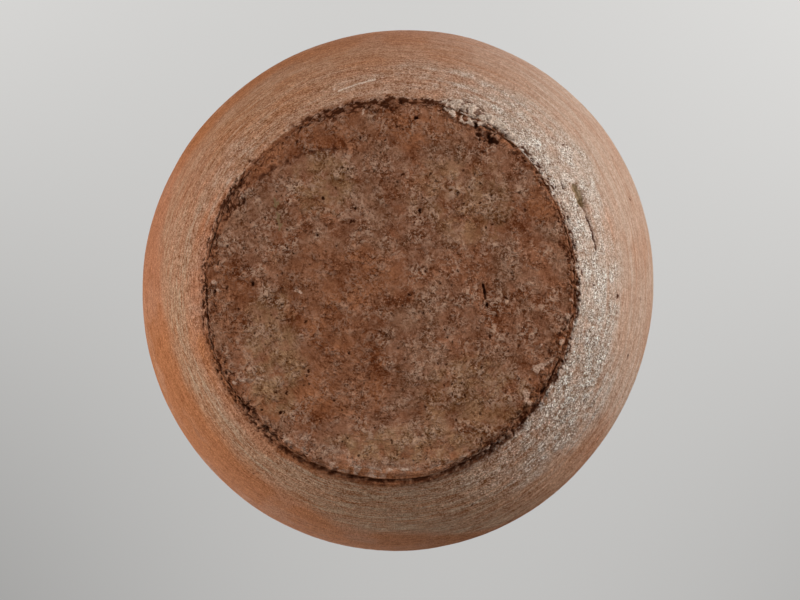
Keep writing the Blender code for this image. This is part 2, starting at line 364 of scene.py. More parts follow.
def crumbs(points, size, seed):
    """Return the height of each point's crumb, from 0 to 1, falling to 0 at the crumb's border."""
    spots = points / size
    cube = np.floor(spots).astype(np.int64)
    nearest, second, height = np.full(len(spots), 9.0), np.full(len(spots), 9.0), np.zeros(len(spots))
    for near in cubes_near(cube):
        centre = np.stack([near[n] + dice(*near, seed + n) for n in range(3)], axis=1)
        away = np.linalg.norm(spots - centre, axis=1)
        closer = away < nearest
        second = np.where(closer, nearest, np.minimum(second, away))
        height = np.where(closer, dice(*near, seed + 3), height)
        nearest = np.where(closer, away, nearest)
    return height * smooth(0.0, 0.30, second - nearest)


rim_place = place[near_rim] * [1.0, 1.0, 0.35]
rim_place = (
    rim_place
    + 0.45 * np.stack([lumps(rim_place, 0.9, 76), lumps(rim_place, 0.9, 77), 0.0 * rim_place[:, 0]], axis=1)
)
rubble = np.zeros(len(place))
rubble[near_rim] = 0.62 * crumbs(rim_place, 2.1, 81) + 0.38 * crumbs(rim_place, 1.1, 86)
print("points that may crumble:", int(near_rim.sum()), "with crumbs up to", rubble.max().round(2))

# %% [markdown]
# ## Marks that the photograph shows
# A scratch, a gouge or a chip has its own place. Each is a short path in angle and radius on the underside,
# or in angle and level on the wall, and a point belongs to the mark by its distance from that path.

# %% Strokes along a path
def wall_radius(height):
    return np.interp(height, outside[:, 1], outside[:, 0])


def spot(turn_degrees, distance, height=0.0):
    turn = math.radians(turn_degrees)
    return np.array([distance * math.cos(turn), distance * math.sin(turn), height])


def stroke(path, width, ragged):
    """Return 1 along a path, fading to 0 at half its width, with a ragged edge."""
    middle = np.mean(path, axis=0)
    reach = max(np.linalg.norm(np.array(path) - middle, axis=1)) + width
    close = np.linalg.norm(place - middle, axis=1) < reach + 2.0
    away = np.full(len(place), 99.0)
    for start, end in zip(path, path[1:]):
        run = end - start
        share = np.clip((place[close] - start) @ run / (run @ run), 0.0, 1.0)
        gap = np.linalg.norm(place[close] - start - share[:, None] * run, axis=1)
        away[close] = np.minimum(away[close], gap)
    away[close] += ragged * width * lumps(place[close], 0.8, 91)
    return smooth(0.5 * width, 0.12 * width, away)


def below(width, ragged, *path):
    """Return a stroke on the underside, along places given by angle and radius."""
    return stroke([spot(*step) for step in path], width, ragged)


def beside(width, ragged, *path):
    """Return a stroke on the wall, along places given by angle and level."""
    return stroke([spot(turn, wall_radius(height), height) for turn, height in path], width, ragged)


gouge_path = [(turn, 8.0 + 0.3 * math.sin(turn)) for turn in (-25.0, -21.0, -16.0, -11.5)]
long_gouge = beside(1.5, 0.25, *gouge_path)
deep_gouge = beside(3.6, 0.25, (-28.6, 7.9), (-26.2, 7.8), (-24.4, 7.9))
small_gouge = beside(1.0, 0.25, (-32.2, 5.3), (-30.2, 5.0))
scratch = beside(1.25, 0.1, (-104.3, 6.9), (-99.0, 7.5), (-94.1, 8.2))
scratch_dot = beside(1.3, 0.1, (-105.6, 7.8), (-105.2, 7.8))
burr_groove = beside(1.3, 0.25, (-69.0, 5.1), (-65.0, 4.9), (-61.0, 4.2))
black_chip = below(2.3, 0.8, (-62.0, 47.8), (-58.5, 47.5), (-55.0, 47.8))
fissure = below(0.9, 0.25, (-3.4, 25.4), (2.0, 26.0), (5.0, 26.2))
fissure = fissure + below(1.1, 0.25, (8.0, 26.8), (9.0, 26.9))
olive_line = below(1.2, 0.6, (-140.0, 40.6), (-146.0, 36.4), (-150.5, 33.6))
pale_fleck = below(1.0, 0.8, (-176.0, 27.0), (-178.5, 25.6), (178.8, 24.3))
bright_fleck = below(0.9, 0.2, (179.0, 24.1), (178.4, 23.7))
pale_dot = below(1.8, 0.3, (162.9, 22.3), (162.0, 21.9))
crease_fleck = below(0.9, 0.3, (-97.8, 50.2), (-98.2, 47.6))

# In these two tables: width in mm, raggedness, and each place by its angle and radius
FLAKES = (
    (1.2, 0.7, (2.8, 48.8), (4.9, 49.6)), (1.5, 0.7, (8.2, 48.3), (11.0, 49.4), (13.8, 50.2)),
    (1.4, 0.7, (16.2, 48.6), (18.6, 50.0)), (2.2, 0.5, (23.8, 47.9), (28.1, 45.1)),
    (1.9, 0.6, (36.7, 45.8), (38.4, 48.6)), (1.2, 0.3, (19.8, 43.7), (20.3, 43.6)),
    (1.1, 0.9, (148.9, 48.4), (148.1, 45.0)), (0.9, 0.9, (147.0, 43.4), (145.3, 41.2)),
    (1.1, 0.7, (-177.3, 47.6), (179.7, 46.4)), (1.2, 0.7, (-148.0, 47.6), (-145.5, 47.0))
)
BIG_PITS = (
    (1.5, 0.25, (-177.0, 36.9), (-177.5, 36.8)), (1.2, 0.2, (-80.7, 46.0), (-81.2, 45.9)),
    (1.1, 0.2, (121.8, 19.8), (122.5, 19.7)), (1.0, 0.3, (-68.0, 22.0), (-69.0, 22.4))
)
flakes = np.maximum.reduce([below(*row) for row in FLAKES])
big_pits = np.maximum.reduce([below(*row) for row in BIG_PITS])
print(
    "points in the long gouge:", int((long_gouge > 0.5).sum()), "and in the chip:",
    int((black_chip > 0.5).sum())
)

# %% [markdown]
# ## The crumbled edge of the foot
# Old low-fired clay crumbles where it is thin. Around most of the foot the edge has broken back, here by a
# millimetre or two and there hardly at all, and lumps of it are left in the crease between foot and wall.
# The edge is moved inwards along the section, by an amount that changes around the jar.

# %% Break back the edge
def clockface(table):
    """Return a value for each point from a table of angles in degrees, blended all the way round."""
    turns = sorted(table)
    values = [table[turn] for turn in turns]
    return np.interp(degrees, turns, values, period=360.0)


# How crumbled the edge is: the left and the lower right most, the bottom and the upper right least
crumble = clockface({
    -180: 0.9, -172: 0.3, -162: 0.35, -153: 1.0, -146: 1.2, -140: 0.5, -130: 0.0, -120: 0.6, -112: 1.1,
    -92: 0.9, -80: 0.8, -72: 0.0, -50: 0.0, -44: 0.3, -25: 0.35, -5: 0.3, 2: 0.7, 14: 1.1, 20: 0.8, 27: 1.2,
    36: 1.2, 50: 0.8, 62: 0.4, 75: 0.12, 105: 0.12, 118: 0.6, 130: 1.1, 150: 1.3, 162: 1.0, 170: 0.5,
    176: 0.9
})
ragged_edge = lumps(pressed, 2.6, 31) + 0.7 * lumps(pressed, 1.1, 32)
retreat = crumble * np.clip(0.70 + 0.75 * ragged_edge, 0.0, 2.2)

# From here on, sunk says how far each point has moved up into the clay, in mm
section_radius = np.concatenate([underside[:, 0], foot_edge[1:, 0], crease[1:2, 0]])
section_level = np.concatenate([underside[:, 1], foot_edge[1:, 1], crease[1:2, 1]])
rim_zone = (radius < CREASE_RADIUS + 0.01) & (level < 5.0)
moved_level = np.interp(np.minimum(radius + retreat, CREASE_RADIUS), section_radius, section_level)
sunk = np.where(rim_zone, np.maximum(moved_level - level, 0.0), 0.0)
print("edge broken back by up to", round(float(retreat.max()), 1), "mm")

# %% [markdown]
# ## Earth packed into the crease
# In most places the crease isn't an open slot. Earth and crumbs have packed into it and make a lumpy slope
# from the foot's edge to the wall. The slope is a straight ramp along the section with lumps on it, and
# wherever the ramp lies lower than the clay, seen from below, the ramp is the surface.

# %% Fill the crease
squeezed = place * [1.0, 1.0, 0.35]
crease_lumps = lumps(squeezed, 2.2, 38) + 0.6 * lumps(squeezed, 1.1, 39)
filled = clockface({
    -180: 0.9, -165: 0.9, -150: 0.85, -140: 1.0, -118: 0.95, -100: 0.7, -85: 0.6, -72: 0.6, -50: 0.9,
    -30: 1.0, -8: 0.9, 0: 0.7, 20: 0.8, 40: 0.8, 55: 0.5, 68: 0.0, 100: 0.0, 115: 0.4, 130: 0.7, 150: 0.8,
    165: 0.9
})
ramp_start = 49.6 - 1.2 * crumble
ramp_slope = (3.4 - 0.3) / (52.3 - ramp_start)
ramp_level = np.maximum(0.3 + (radius - ramp_start) * ramp_slope + 0.5 * crease_lumps, 0.25)
by_crease = smooth(53.6, 52.6, radius) * (radius > 45.0) * (level < 6.0) * low_parts
fill_share = np.clip(filled * (1.0 + 0.4 * crease_lumps), 0.0, 1.0) * by_crease
sunk = sunk + fill_share * (np.minimum(level + sunk, ramp_level) - level - sunk)
print("mean depth of the crease:", round(float((level + sunk)[part == "crease"].mean()), 2), "mm")

# %% [markdown]
# ## A strip of crumbs along the edge
# Inside the broken edge runs a strip, a few millimetres wide, where the clay stands in crumbs with dark gaps,
# which are painted shade with some earth. Two tables round the clock say how badly it is broken and how far
# the strip reaches inwards. A low crumb sinks into the clay and a high one stays near the level of the foot.

# %% Break the edge into crumbs
broken = clockface({
    -180: 0.75, -165: 0.6, -150: 0.95, -140: 0.5, -130: 0.2, -118: 0.5, -105: 0.9, -90: 0.9, -76: 0.5,
    -73: 0.15, -52: 0.2, -45: 0.95, -30: 0.5, -15: 0.9, 0: 0.9, 15: 0.6, 30: 0.65, 45: 0.9, 60: 0.8,
    75: 0.25, 90: 0.1, 105: 0.1, 116: 0.3, 126: 0.7, 135: 0.6, 150: 0.75, 165: 0.55
})
strip_reach = clockface({
    -180: 2.8, -165: 2.3, -150: 3.4, -135: 2.5, -118: 2.4, -105: 2.6, -90: 2.4, -75: 1.8, -60: 2.0, -45: 2.3,
    -30: 1.6, -15: 2.8, 0: 3.0, 15: 3.2, 30: 3.6, 45: 3.0, 60: 2.0, 75: 1.0, 90: 0.8, 105: 1.0, 120: 2.0,
    135: 3.0, 150: 3.2, 165: 2.4
})
straying = rough(pressed, 3.5, 35)
strip = smooth(-0.5, 0.5, radius - 50.4 + strip_reach * (1.0 + 0.7 * straying)) * near_rim
strip = strip * smooth(52.5, 51.8, radius + 0.5 * ragged_edge)
sunk = sunk + strip * broken * (0.50 - 1.25 * rubble)
# Painted shade with some earth in the gaps between crumbs
gaps = strip * smooth(0.06 + 0.17 * broken, 0.10 * broken, rubble + 0.08 * grit) * smooth(0.0, 0.3, broken)
print("points in the gaps between crumbs:", int((gaps > 0.5).sum()))

# %% [markdown]
# ## A flaked crescent and a filled stretch of crease
# At one side of the underside a thin crust has flaked off between the foot's edge and a curved scarp, and
# shows the orange clay below. Next to it the potter's thumb smeared the wall onto the foot, so the crease is
# gone there. A height that is only lowered needs no new faces: the grid's points just move up into the clay.

# %% Lower the crescent and fill the crease
scarp_radius = np.interp(
    degrees, [-170.0, -162.0, -147.0, -129.5, -108.0, -96.0], [49.8, 48.7, 47.9, 44.4, 39.9, 37.4]
)
scarp_radius = scarp_radius + 1.0 * rough(flat_place, 2.3, 41)
in_crescent = smooth(-0.25, 0.35, radius - scarp_radius) * around(-133.0, 31.0, 7.0) * on_underside
scarp_line = np.exp(-((radius - scarp_radius) / 1.1) ** 2) * around(-131.0, 30.0, 6.0) * on_underside
sunk = np.where(in_crescent > 0.0, np.maximum(sunk, 0.55 * in_crescent), sunk)

smeared = around(-130.0, 7.0, 7.0) * smooth(54.2, 53.4, radius) * smooth(45.5, 47.5, radius) * (level < 6.0)
ramp = 0.5 + (radius - 46.5) / (54.0 - 46.5) * 4.0
sunk = np.where(smeared > 0.0, sunk * (1 - smeared) + smeared * (ramp - level), sunk)
print("crescent points:", int((in_crescent > 0.5).sum()), "filled points:", int((smeared > 0.5).sum()))

# %% [markdown]
# ## The roll of clay over the edge
# A roll of wet clay was pressed over the crease and left. Seen from below it is a lumpy bead, so its surface
# is the lower half of a round bar that bends around the foot. Where the bar lies lower than the clay, the
# bar shows. At its thick end the roll was flattened onto the foot and hangs over the underside as a flap.
# The clay just inside the flap is lowered, which leaves a shadow along its edge.

# %% Lay the roll over the crease
ROLL_START, ROLL_END = -74.5, -49.0
share = np.clip((degrees - ROLL_START) / (ROLL_END - ROLL_START), 0.0, 1.0)
on_roll = (share > 0.0) & (share < 1.0) & (level < 9.0) & low_parts
fullness = np.interp(
    degrees, [-74.5, -72.5, -68.0, -63.0, -59.5, -56.0, -52.0, -49.0],
    [0.0, 0.8, 1.15, 1.2, 1.05, 0.95, 0.75, 0.0]
)
fullness = fullness * (0.95 + 0.22 * lumps(place, 2.6, 43))
roll_size = 2.4 * np.clip(fullness, 0.02, 1.2)
roll_radius = 51.4 - 0.5 * around(-65.0, 4.0, 4.0) + 0.45 * lumps(pressed, 5.0, 44)
off_middle = np.clip(np.abs(radius - roll_radius) / roll_size, 0.0, 1.0)
roll_lumps = 0.45 * lumps(place, 1.7, 45) + 0.30 * lumps(place, 0.8, 48) + 1.5 * (0.4 - rubble)
roll_level = 2.9 - roll_size * np.sqrt(1.0 - off_middle ** 2) + roll_lumps
rolled = on_roll & (off_middle < 1.0) & (roll_level < level + sunk)
sunk = np.where(rolled, roll_level - level, sunk)

flap_edge = np.interp(
    degrees, [-75.0, -72.5, -70.0, -66.0, -62.5, -60.5, -56.0, -52.0, -50.0, -48.5],
    [51.5, 49.2, 48.3, 48.1, 48.7, 50.6, 51.0, 51.1, 50.5, 51.5]
)
past_flap = radius - flap_edge + 0.45 * lumps(pressed, 1.5, 46)
beside_roll = (degrees > -75.0) & (degrees < -48.5) & (level < 1.5) & on("underside", "foot")
flapped = beside_roll & (past_flap > 0.0) & (radius < 51.5) & ~rolled
under_flap = beside_roll * smooth(-2.0, -0.6, past_flap) * (past_flap <= 0.0)
sunk = np.where(flapped, np.clip(0.35 + roll_lumps, 0.05, 1.3) - level, sunk)
sunk = np.where((under_flap > 0.0) & ~rolled, np.maximum(sunk, 0.6 * under_flap), sunk)
rolled = rolled | flapped
print(
    "roll of clay:", int(rolled.sum()), "points, of which its flap", int(flapped.sum()), "points, lowest at",
    round(float((level + sunk)[rolled].min()), 2), "mm"
)

# %% [markdown]
# ## Where lime and soil have settled
# Three coats lie on the clay: a thick grainy lime that is nearly white, a thin grey film, and a pale veil
# that only lightens the orange. Each is strong on one side of the jar and gone on another. The amounts are
# kept as numbers at the points, so that the shape can use them now (the lime has thickness) and the material
# can use them later.

# %% Amounts of each coat
wall_patches = rough(place, 11.0, 51)
small_patches = rough(place, 3.2, 52)
streaks = turned(26.0, 1.5, 53)
# How far the wall's coats reach in past the edge of the foot, in mm
wall_inwards = clockface({
    -155: 0.0, -75: 0.0, -60: 0.6, -45: 0.9, -20: 0.6, -8: 0.2, 5: 0.0, 45: 0.0, 62: 1.6, 72: 2.3, 106: 2.3,
    118: 0.6, 128: 0.5, 150: 0.9, 170: 0.6, -170: 0.5
})
crease_inwards = wall_inwards * (1.0 - around(88.0, 30.0, 12.0))
past_crease = smooth(50.9, 51.4, radius + wall_inwards + 0.25 * ragged_edge)
outer_side = np.where(on("foot", "crease"), past_crease, on("wall", "lip") * 1.0)

lime_around = clockface({
    -180: 0.20, -150: 0.30, -122: 0.22, -105: 0.22, -90: 0.25, -78: 0.4, -62: 0.75, -45: 1.0, -25: 1.0,
    22: 1.0, 36: 0.80, 50: 0.55, 62: 0.25, 75: 0.08, 130: 0.08
})
lime_reach = clockface({
    -180: 6.0, -150: 8.0, -110: 10.0, -90: 14.0, -75: 15.0, -55: 14.0, -25: 13.5, 10: 16.0, 35: 23.0,
    52: 21.0, 66: 12.0, 90: 7.0, 130: 7.0
})
lime_edge = lime_reach + 6.0 * wall_patches + 3.5 * streaks
lime = lime_around * smooth(lime_edge + 6.0, lime_edge - 7.0, level) * outer_side
lime = np.clip(lime * (0.85 + 0.5 * small_patches + 0.25 * streaks), 0.0, 1.0)

film_around = clockface({
    -180: 1.0, -165: 0.75, -150: 0.5, -128: 0.55, -110: 0.5, -95: 0.3, -60: 0.15, 0: 0.15, 40: 0.35,
    58: 0.75, 75: 1.0, 100: 1.0, 118: 0.9, 128: 1.0, 165: 1.0
})
film_low = clockface({-180: 6.3, -155: 4.0, -120: 2.0, 112: 2.0, 122: 4.5, 135: 7.0, 165: 7.2})
film_high = clockface({
    -180: 16.0, -155: 26.0, -125: 30.0, -90: 24.0, 40: 30.0, 52: 50.0, 66: 40.0, 80: 25.0, 92: 22.0,
    104: 18.0, 116: 13.0, 130: 12.0, 165: 14.0
})
film_spot = level + 1.6 * streaks + 2.2 * wall_patches
film = (
    film_around * smooth(film_low - 1.2, film_low + 1.6, film_spot)
    * smooth(film_high + 4.0, film_high - 3.0, film_spot)
)
film = np.clip(film * (0.9 + 0.35 * streaks), 0.0, 1.0) * outer_side

veil_around = clockface({
    -180: 0.0, -140: 0.0, -118: 0.05, -98: 0.12, -82: 0.25, -65: 0.7, -50: 1.0, 10: 1.0, 25: 0.8, 38: 0.45,
    55: 0.2, 75: 0.05, 100: 0.0
})
veil = np.clip(veil_around * (0.9 + 0.3 * wall_patches + 0.25 * streaks), 0.0, 1.0) * outer_side
flap = around(-67.5, 5.5, 3.0)
outer_side = np.maximum(outer_side, rolled * flap)
fresh_side = rolled * smooth(51.3, 50.3, radius + 0.3 * ragged_edge) * (1.0 - 0.85 * flap)
lime = lime * (1.0 - fresh_side)
veil = veil * (1.0 - fresh_side)
print("mean lime", lime.mean().round(3), "film", film.mean().round(3), "veil", veil.mean().round(3))

# %% [markdown]
# ## Soil and painted shade in every hollow
# Soil stays where a brush can't reach: in the crease, in chips and pits, and under the scarp. Painted shade
# is laid with it in the crease and beside it, between crumbs, along the scarp and inside the flap's edge. How
# deep a point has sunk below the foot says how much soil and shade it holds. Rubbed places, such as the tops
# of crumbs and the rim of the foot, are pale instead.

# %% Soil, painted shade, bare clay and rubbed edges
def patch(x, y, across, tall, seed=61):
    """Return 1 inside an oval on the underside, with a ragged edge, and 0 outside it."""
    away = (
        np.hypot((place[:, 0] - x) / across, (place[:, 1] - y) / tall) + 0.35 * rough(flat_place, 6.0, seed)
    )
    return smooth(1.15, 0.75, away) * on_underside


clumps = lumps(place, 1.6, 36) + 0.7 * lumps(place, 0.8, 37)


def crumbly(share):
    """Return ragged clumps that cover about this share of a place: none at 0 and nearly all at 1."""
    return smooth(-0.20, 0.30, clumps + 2.0 * share - 1.15) * (share > 0.03)


# How dark the crease is, with earth and with painted shade
rim_soil_and_shade = clockface({
    -180: 0.8, -172: 0.65, -163: 0.8, -153: 0.85, -146: 0.85, -138: 0.5, -130: 0.1, -122: 0.6, -112: 1.0,
    -95: 1.0, -80: 1.0, -74: 0.7, -66: 0.1, -54: 0.2, -45: 1.0, -30: 0.5, -15: 0.95, 0: 0.95, 15: 0.55,
    28: 0.62, 42: 0.9, 60: 1.0, 75: 1.0, 105: 1.0, 120: 0.9, 135: 0.55, 150: 0.85, 165: 0.75, 172: 0.65
})
# At the left of the picture the dark line is broken into spots
line_share = clockface({-180: 0.6, -166: 0.65, -156: 1.0, 135: 1.0, 150: 0.8, 165: 0.6})
depth = level + sunk
# The open crease holds earth and painted shade, darker where it lies deep
low_crease = 1.7 + 1.1 * around(85.0, 30.0, 15.0)
# Painted shade: a dark line where the crease is deepest, on one side of the jar
crease_line = smooth(2.5, 3.1, depth) * smooth(52.7, 51.9, radius) * near_rim * around(86.0, 32.0, 12.0)
wall_side = radius + crease_inwards + 0.5 * ragged_edge
open_crease = (
    smooth(low_crease, low_crease + 1.0, depth) * smooth(52.0, 51.3, wall_side) * (level < 6.0) * near_rim
)
# Painted shade: a thin brown band on the wall beside the crease, and on the foot's side where the edge is
# worn
shade_beside_crease = clockface({
    -180: 0.32, -140: 0.15, -110: 0.40, -95: 0.34, -85: 0.30, -75: 0.0, 0: 0.1, 20: 0.15, 45: 0.33, 58: 0.52,
    78: 0.52, 95: 0.42, 110: 0.42, 150: 0.34
})
shade_beside_crease = shade_beside_crease * smooth(55.2, 51.8, radius) * smooth(50.3, 50.9, radius) * near_rim
foot_side_shade = smooth(0.4, 0.9, depth) * smooth(51.0, 50.6, radius) * near_rim * around(86.0, 32.0, 12.0)
# Dark clumps along the scarp: earth with painted shade
scarp_clumps = crumbly(0.65 * scarp_line)
# Painted shade with the earth: crumb gaps, the crease and its line, the band beside it, the foot's side, the
# scarp
soil_and_shade = np.maximum.reduce([
    0.80 * gaps, 0.90 * rim_soil_and_shade * crumbly(0.71 * rim_soil_and_shade * line_share * open_crease),
    crease_line * (0.62 + 0.30 * clumps), 0.14 * strip * rim_soil_and_shade * broken, shade_beside_crease, 0.34 * foot_side_shade,
    0.60 * scarp_clumps, 0.22 * scarp_line, black_chip * (0.85 + 0.5 * clumps), 0.95 * fissure,
    0.95 * big_pits, 0.8 * long_gouge * (0.9 + 0.5 * clumps), 0.3 * deep_gouge, 0.8 * small_gouge,
    0.95 * burr_groove, smooth(0.1, 0.7, under_pits), 0.8 * smooth(0.1, 0.6, wall_pits)
])
soil_and_shade = np.clip(soil_and_shade, 0.0, 1.3) * (1.0 - 0.7 * rolled * smooth(50.6, 51.2, radius)) * (1.0 - 0.9 * flakes)
# Painted shade along the inside of the flap's edge
soil_and_shade = np.maximum(soil_and_shade * (1.0 - 0.8 * flapped), 0.34 * under_flap)
# Painted shade in the gaps between the lumps of the roll
soil_and_shade = np.maximum(soil_and_shade, 0.55 * rolled * smooth(0.26, 0.10, rubble + 0.1 * grit))

bare = np.maximum.reduce([
    patch(-13.0, 20.0, 15.0, 15.0), patch(-18.0, 0.0, 11.0, 12.0, seed=62),
    patch(42.0, -24.0, 6.0, 7.0, seed=63), 0.8 * patch(8.0, -42.0, 15.0, 5.0),
    0.9 * patch(-42.0, 3.0, 6.0, 12.0), patch(-34.0, 33.0, 6.0, 6.0),
    0.9 * patch(-8.0, -4.0, 9.0, 9.0, seed=64), 0.6 * patch(10.0, 44.0, 14.0, 4.0, seed=65), in_crescent
])
bare = np.maximum.reduce([bare, outer_side, rolled, 0.8 * strip])
grey = np.maximum.reduce([
    patch(-31.0, 15.0, 8.0, 19.0), patch(-17.0, -28.0, 9.0, 9.0), patch(4.0, 41.0, 21.0, 6.0),
    0.8 * patch(22.0, 28.0, 15.0, 10.0), 0.7 * patch(20.0, -24.0, 14.0, 12.0)
])
film = np.maximum(film, 0.8 * grey * (1.0 - in_crescent))

flaky = clockface({
    -180: 0.3, -150: 0.4, -135: 0.0, -112: 0.3, -85: 0.2, -60: 0.0, 2: 0.3, 6: 0.6, 38: 0.6, 50: 0.2,
    60: 0.0, 115: 0.0, 132: 0.4, 165: 0.3
})
crumb_tops = strip * smooth(0.62, 0.80, rubble) * flaky
worn_rim = (
    np.exp(-((depth - 0.13) / 0.14) ** 2) * (radius > 45.0) * (radius < 50.2) * around(95.0, 29.0, 14.0)
)
worn_rim = worn_rim * smooth(-1.0, 0.2, clumps)
roll_tops = rolled * smooth(0.35, -0.35, roll_lumps + (0.35 - 0.30 * flap) * (50.6 - radius) - 0.35 * flap)
crust = (
    0.42 * smooth(41.5, 45.5, radius) * on_underside * around(104.0, 14.0, 14.0) * smooth(-0.6, 0.5, clumps)
)
pale = np.maximum.reduce([
    0.6 * crumb_tops, 0.65 * flakes, 0.70 * worn_rim, 0.95 * roll_tops, scratch, scratch_dot,
    0.6 * crumbly(0.45 * pale_fleck), bright_fleck, 0.4 * pale_dot, 0.9 * crease_fleck, crust
])
print("mean soil", soil_and_shade.mean().round(3), "bare", bare.mean().round(3), "pale", pale.mean().round(3))

# %% [markdown]
# ## The relief
# The underside was cut from the wheel and dried on sand, so it is rough in every size from a thumb's width
# down to a grain. The wall was smoothed by wet fingers, which left shallow rings, and the lime lies on it as
# a crust. Relief on the foot moves points straight up or down, so that the crease can't fold over itself,
# and relief on the wall moves them out of the surface. In the end the foot is cut flat again, because a
# jar's own weight wears it flat.

# %% Move the points
drag = turned(14.0, 0.9, 47) * smooth(8.0, 18.0, radius) * (0.4 + 0.6 * smooth(-10.0, 15.0, place[:, 1]))
underside_relief = (
    0.13 * lumps(flat_place, 15.0, 1) + 0.12 * rough(flat_place, 5.5, 2)
    + 0.13 * rough(flat_place, 2.2, 4) + 0.13 * grit + 0.09 * lumps(flat_place, 0.75, 74) + 0.10 * drag
    - 0.28 - 0.15 * scarp_line * clumps - 0.25 * scarp_clumps + 0.6 * flakes
    - 0.42 * smooth(0.0, 0.8, under_pits) - 0.9 * big_pits - black_chip * (0.8 + 0.4 * clumps)
    - 0.9 * fissure - 0.12 * olive_line + 0.15 * pale_fleck + 0.2 * bright_fleck + 0.1 * pale_dot
)
wall_relief = (
    0.16 * lumps(place, 18.0, 5) + 0.08 * turned(60.0, 3.6, 6) + 0.06 * turned(34.0, 1.3, 7)
    + 0.045 * rough(place, 1.4, 8) + 0.14 * smooth(9.0, 4.0, level) * rough(place, 1.5, 75)
    + lime * (0.10 + 0.26 * np.maximum(rough(place, 0.8, 9), -0.4)) + 0.07 * film * grit
    - 0.30 * smooth(0.0, 0.8, wall_pits) - 0.8 * long_gouge - 0.9 * deep_gouge - 0.7 * small_gouge
    - 0.6 * burr_groove - 0.12 * scratch
)
inner_relief = 0.35 * np.sin(level / 7.5 * math.tau + 1.5 * np.sin(angle)) * smooth(12.0, 25.0, level)
inner_relief = inner_relief * smooth(170.0, 150.0, level) + 0.10 * lumps(place, 9.0, 12)
part_relief = np.where(part == "inside", inner_relief, wall_relief)
relief = on_underside * underside_relief + (1.0 - on_underside) * part_relief
relief = relief * np.where(part == "lip", 0.5, 1.0)

push = np.stack([outward[:, 0] * np.cos(angle), outward[:, 0] * np.sin(angle), outward[:, 1]], axis=1)
push = near_foot[:, None] * np.array([0.0, 0.0, -1.0]) + (1.0 - near_foot)[:, None] * push
push /= np.linalg.norm(push, axis=1)[:, None]
shaped = place + relief[:, None] * push
shaped[:, 2] += sunk
shaped[:, 2] = np.maximum(shaped[:, 2], 0.0)
print("relief from", relief.min().round(2), "to", relief.max().round(2), "mm")

# %% [markdown]
# ## Not quite round
# The wet jar sagged into a slight oval and, less, into a rounded triangle. The foot's edge strays too, and
# is worn broader at one side. These are the same waves as in the CAD, so the skin stays on the solid.

# %% Sag, straying edge and worn side
# The sag is in shares of the radius, the straying and the wear are in mm, and the worn side in degrees
OVAL, OVAL_ANGLE = 0.014, math.radians(-66.5)
THREE_CORNERS, THREE_CORNERS_ANGLE = 0.004, math.radians(-44.6)
EDGE_WANDER, WORN_EDGE, WORN_ANGLE, WORN_SPREAD = 0.6, 2.0, 91.0, 30.0

oval = OVAL * np.cos(2.0 * (angle - OVAL_ANGLE))
sag = 1.0 + oval + THREE_CORNERS * np.cos(3.0 * (angle - THREE_CORNERS_ANGLE))
waves = 0.5 * np.sin(5.0 * angle + 0.4) + 0.3 * np.sin(9.0 * angle + 2.1) + 0.2 * np.sin(14.0 * angle)
wander = EDGE_WANDER * waves * np.clip(1.0 - level / 6.0, 0.0, 1.0) * smooth(30.0, 46.0, radius)
from_worn = np.clip(away_from(WORN_ANGLE) / WORN_SPREAD, 0.0, 1.0)
worn = np.where(part == "inside", 0.0, WORN_EDGE * np.cos(from_worn * np.pi / 2) ** 2)
worn = worn * np.clip(1.0 - level / FOOT_ROUNDING, 0.0, 1.0) * smooth(40.0, 48.0, radius)
final_radius = np.hypot(shaped[:, 0], shaped[:, 1]) * sag + wander - worn
skin = np.stack([final_radius * np.cos(angle), final_radius * np.sin(angle), shaped[:, 2]], axis=1) * MM
print("widest across X and Y:", np.ptp(skin, axis=0).round(4)[:2], "m")

# %% [markdown]
# ## Faces between the rings
# Two rings with the same number of points are joined by squares, cut into triangles. Where a ring has half
# as many points as its neighbour, each of its edges meets two edges, in three triangles. The first and last
# ring close onto a single point on the axis. The corners go round so that every face looks out of the clay.

# %% Join the rings
def band(first, second):
    """Return the triangles between two neighbouring rings."""
    a, b = counts[first], counts[second]
    i = np.arange(max(a, b))
    step = np.arange(min(a, b))
    if a == b:
        low, low_next = first_of[first] + i, first_of[first] + (i + 1) % a
        high, high_next = first_of[second] + i, first_of[second] + (i + 1) % a
        return np.concatenate([np.stack([low, low_next, high_next], 1), np.stack([low, high_next, high], 1)])
    fine, coarse = (first, second) if a > b else (second, first)
    many = counts[fine]
    left, middle = first_of[fine] + 2 * step, first_of[fine] + 2 * step + 1
    right = first_of[fine] + (2 * step + 2) % many
    here, there = first_of[coarse] + step, first_of[coarse] + (step + 1) % counts[coarse]
    fan = np.concatenate([
        np.stack([left, middle, here], 1), np.stack([middle, there, here], 1),
        np.stack([middle, right, there], 1)
    ])
    return fan if a > b else fan[:, ::-1]


def cap(ring, centre, flip):
    i = np.arange(counts[ring])
    fan = np.stack([first_of[ring] + i, first_of[ring] + (i + 1) % counts[ring], np.full(len(i), centre)], 1)
    return fan[:, ::-1] if flip else fan


bottom_centre, floor_centre = len(skin), len(skin) + 1
centres = np.array([[0.0, 0.0, skin[:counts[0], 2].mean()], [0.0, 0.0, skin[first_of[-2]:, 2].mean()]])
corners = np.concatenate([skin, centres])
triangles = np.concatenate(
    [band(i, i + 1) for i in range(len(rings) - 1)]
    + [cap(0, bottom_centre, True), cap(len(rings) - 1, floor_centre, False)]
)
print(len(corners), "points and", len(triangles), "triangles before thinning")

# %% [markdown]
# ## From arrays to a mesh, then thin it out
# Blender takes the arrays as they are. The amounts of lime, of soil and painted shade, and the rest are
# stored as attributes of the points, which a material can read by name. The grid is finer than it needs to
# be in smooth places, so the Decimate modifier merges points where that changes the shape least, and keeps
# them in the crumbled and pitted places.

# %% Make the skin
MOST_TRIANGLES = 192000


